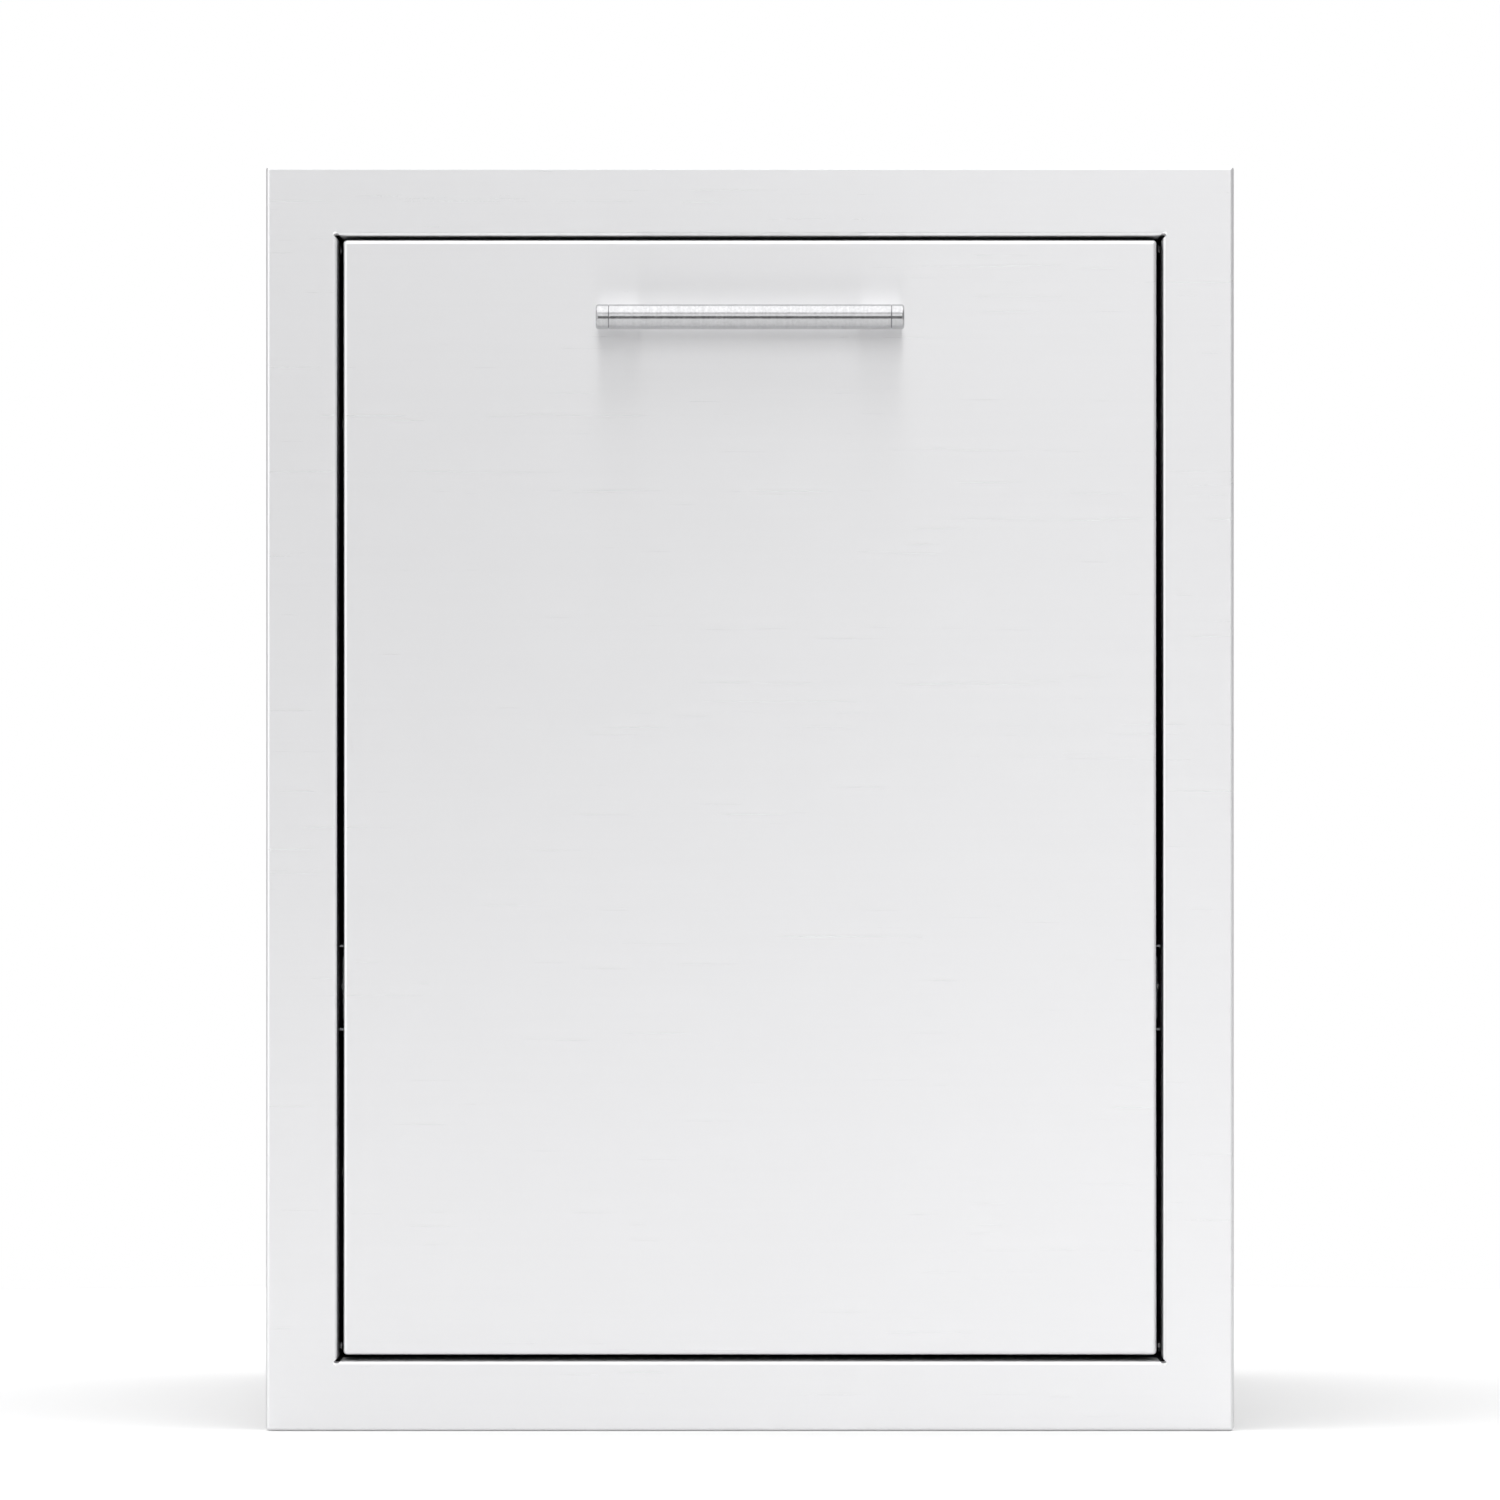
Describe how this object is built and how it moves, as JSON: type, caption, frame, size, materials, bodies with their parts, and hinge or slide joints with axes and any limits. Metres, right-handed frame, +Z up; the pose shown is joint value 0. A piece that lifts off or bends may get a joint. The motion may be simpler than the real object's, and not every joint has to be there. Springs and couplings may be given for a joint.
{
  "type": "double trash drawer",
  "caption": "Built-in stainless trash drawer for an outdoor kitchen island: trim frame, bar handle, full-extension ball slides and lift-out bins hung in a steel drawer box.",
  "frame": {"origin": "centre of the trim frame in the plane of the island's face, where the frame's outer return rests on the island", "axes": "+X to the right seen from the front, +Y into the island, +Z up"},
  "size_m": [0.508, 0.6255, 0.664],
  "materials": {
    "brushed_stainless": "fine horizontal brushing",
    "satin_bar": "satin, brushed along the bar",
    "slide_steel": "bright zinc plate",
    "bearing_steel": "polished",
    "fastener_steel": "satin",
    "stop_rubber": "matt",
    "bin_plastic": "fine moulded grain"
  },
  "bodies": {
    "housing": {"face_frame": "brushed_stainless", "left_side_panel": "brushed_stainless", "right_side_panel": "brushed_stainless", "top_panel": "brushed_stainless", "bottom_panel": "brushed_stainless", "back_panel": "brushed_stainless", "housing_rivets": "fastener_steel", "left_slide_outer_rail": "slide_steel", "right_slide_outer_rail": "slide_steel", "left_rail_stop": "stop_rubber", "right_rail_stop": "stop_rubber", "outer_rail_screws": "fastener_steel", "outer_rail_nuts": "fastener_steel"},
    "drawer": {"drawer_front_skin": "brushed_stainless", "drawer_front_liner": "brushed_stainless", "handle_bar": "satin_bar", "handle_cap_left": "satin_bar", "handle_cap_right": "satin_bar", "handle_post_left": "satin_bar", "handle_post_right": "satin_bar", "handle_screws": "fastener_steel", "handle_access_plugs": "stop_rubber", "drawer_left_side": "brushed_stainless", "drawer_right_side": "brushed_stainless", "drawer_floor": "brushed_stainless", "drawer_back": "brushed_stainless", "bin_deck": "brushed_stainless", "drawer_rivets": "fastener_steel", "front_screws": "fastener_steel", "front_clinch_nuts": "fastener_steel", "left_slide_inner_rail": "slide_steel", "right_slide_inner_rail": "slide_steel", "inner_rail_screws": "fastener_steel", "inner_rail_nuts": "fastener_steel"},
    "front_bin": {"front_bin": "bin_plastic"},
    "rear_bin": {"rear_bin": "bin_plastic"},
    "left_middle_rail": {"left_slide_middle_rail": "slide_steel"},
    "left_outer_bearing": {"left_outer_cage": "slide_steel", "left_outer_balls": "bearing_steel"},
    "left_inner_bearing": {"left_inner_cage": "slide_steel", "left_inner_balls": "bearing_steel"},
    "right_middle_rail": {"right_slide_middle_rail": "slide_steel"},
    "right_outer_bearing": {"right_outer_cage": "slide_steel", "right_outer_balls": "bearing_steel"},
    "right_inner_bearing": {"right_inner_cage": "slide_steel", "right_inner_balls": "bearing_steel"}
  },
  "joints": [
    {"name": "drawer_slide", "type": "slide", "parent": "housing", "child": "drawer", "axis": [0, -1, 0], "range_m": [0, 0.56]},
    {"name": "left_middle_rail_travel", "type": "slide", "parent": "housing", "child": "left_middle_rail", "axis": [0, -1, 0], "range_m": [0, 0.28]},
    {"name": "left_outer_bearing_travel", "type": "slide", "parent": "housing", "child": "left_outer_bearing", "axis": [0, -1, 0], "range_m": [0, 0.14]},
    {"name": "left_inner_bearing_travel", "type": "slide", "parent": "housing", "child": "left_inner_bearing", "axis": [0, -1, 0], "range_m": [0, 0.42]},
    {"name": "right_middle_rail_travel", "type": "slide", "parent": "housing", "child": "right_middle_rail", "axis": [0, -1, 0], "range_m": [0, 0.28]},
    {"name": "right_outer_bearing_travel", "type": "slide", "parent": "housing", "child": "right_outer_bearing", "axis": [0, -1, 0], "range_m": [0, 0.14]},
    {"name": "right_inner_bearing_travel", "type": "slide", "parent": "housing", "child": "right_inner_bearing", "axis": [0, -1, 0], "range_m": [0, 0.42]},
    {"name": "front_bin_lift", "type": "slide", "parent": "drawer", "child": "front_bin", "axis": [0, 0, 1], "range_m": [0, 0.038]},
    {"name": "rear_bin_lift", "type": "slide", "parent": "drawer", "child": "rear_bin", "axis": [0, 0, 1], "range_m": [0, 0.038]}
  ],
  "couplings": [
    {"joint": "left_middle_rail_travel", "follows": "drawer_slide", "ratio": 0.5},
    {"joint": "left_outer_bearing_travel", "follows": "drawer_slide", "ratio": 0.25},
    {"joint": "left_inner_bearing_travel", "follows": "drawer_slide", "ratio": 0.75},
    {"joint": "right_middle_rail_travel", "follows": "drawer_slide", "ratio": 0.5},
    {"joint": "right_outer_bearing_travel", "follows": "drawer_slide", "ratio": 0.25},
    {"joint": "right_inner_bearing_travel", "follows": "drawer_slide", "ratio": 0.75}
  ]
}
